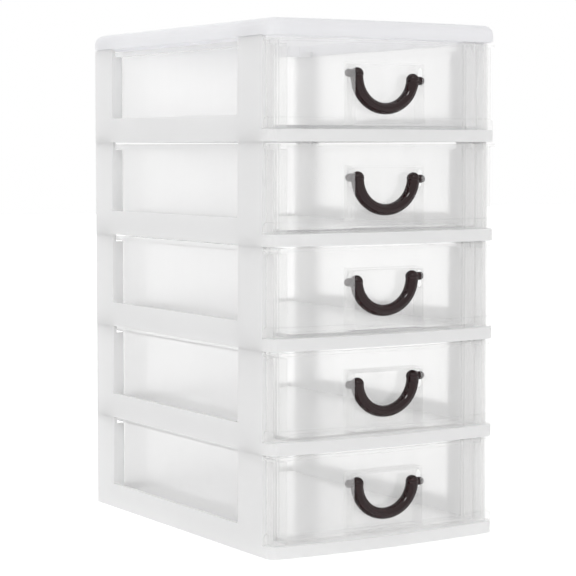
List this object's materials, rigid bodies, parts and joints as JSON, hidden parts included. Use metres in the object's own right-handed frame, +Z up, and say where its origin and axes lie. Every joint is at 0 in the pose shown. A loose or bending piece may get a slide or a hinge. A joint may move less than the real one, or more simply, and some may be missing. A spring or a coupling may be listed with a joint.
{
  "type": "drawer tower",
  "caption": "Small desk tower of stacked open frames under a crowned lid, holding clear sliding drawers with recessed half-round bail handles.",
  "frame": {"origin": "middle of the footprint, on the surface that the tower stands on", "axes": "+Z up; the drawers open towards -Y, so the handles face -Y; +X to the right as seen from the front"},
  "size_m": [0.12, 0.17, 0.232],
  "materials": {
    "lid": "milky white translucent polypropylene, satin",
    "frame": "milky white translucent polypropylene, satin",
    "drawer": "clear, slightly hazy moulded plastic",
    "handle": "very dark brown, glossy"
  },
  "bodies": {
    "tower": {"lid": "lid", "frame_1": "frame", "frame_2": "frame", "frame_3": "frame", "frame_4": "frame", "frame_5": "frame"},
    "drawer_1": {"drawer_1": "drawer"},
    "drawer_2": {"drawer_2": "drawer"},
    "drawer_3": {"drawer_3": "drawer"},
    "drawer_4": {"drawer_4": "drawer"},
    "drawer_5": {"drawer_5": "drawer"},
    "bail_handle_1": {"bail_handle_1": "handle"},
    "bail_handle_2": {"bail_handle_2": "handle"},
    "bail_handle_3": {"bail_handle_3": "handle"},
    "bail_handle_4": {"bail_handle_4": "handle"},
    "bail_handle_5": {"bail_handle_5": "handle"}
  },
  "joints": [
    {"name": "drawer_1_slide", "type": "slide", "parent": "tower", "child": "drawer_1", "axis": [0, -1, 0], "range_m": [0, 0.125]},
    {"name": "drawer_2_slide", "type": "slide", "parent": "tower", "child": "drawer_2", "axis": [0, -1, 0], "range_m": [0, 0.125]},
    {"name": "drawer_3_slide", "type": "slide", "parent": "tower", "child": "drawer_3", "axis": [0, -1, 0], "range_m": [0, 0.125]},
    {"name": "drawer_4_slide", "type": "slide", "parent": "tower", "child": "drawer_4", "axis": [0, -1, 0], "range_m": [0, 0.125]},
    {"name": "drawer_5_slide", "type": "slide", "parent": "tower", "child": "drawer_5", "axis": [0, -1, 0], "range_m": [0, 0.125]},
    {"name": "bail_handle_1_hinge", "type": "hinge", "parent": "drawer_1", "child": "bail_handle_1", "pos_m": [-0.0003, -0.0799, 0.207], "axis": [-0.9972, 0, 0.075], "range_deg": [-1, 90]},
    {"name": "bail_handle_2_hinge", "type": "hinge", "parent": "drawer_2", "child": "bail_handle_2", "pos_m": [0.0002, -0.0799, 0.1628], "axis": [-0.9998, 0, 0.0209], "range_deg": [-1, 90]},
    {"name": "bail_handle_3_hinge", "type": "hinge", "parent": "drawer_3", "child": "bail_handle_3", "pos_m": [-0.0003, -0.0799, 0.1185], "axis": [-0.9991, 0, -0.0419], "range_deg": [-1, 90]},
    {"name": "bail_handle_4_hinge", "type": "hinge", "parent": "drawer_4", "child": "bail_handle_4", "pos_m": [0.0003, -0.0799, 0.0738], "axis": [-0.9985, 0, -0.0541], "range_deg": [-1, 90]},
    {"name": "bail_handle_5_hinge", "type": "hinge", "parent": "drawer_5", "child": "bail_handle_5", "pos_m": [0.0003, -0.0799, 0.0282], "axis": [-0.9984, 0, 0.0558], "range_deg": [-1, 90]}
  ]
}
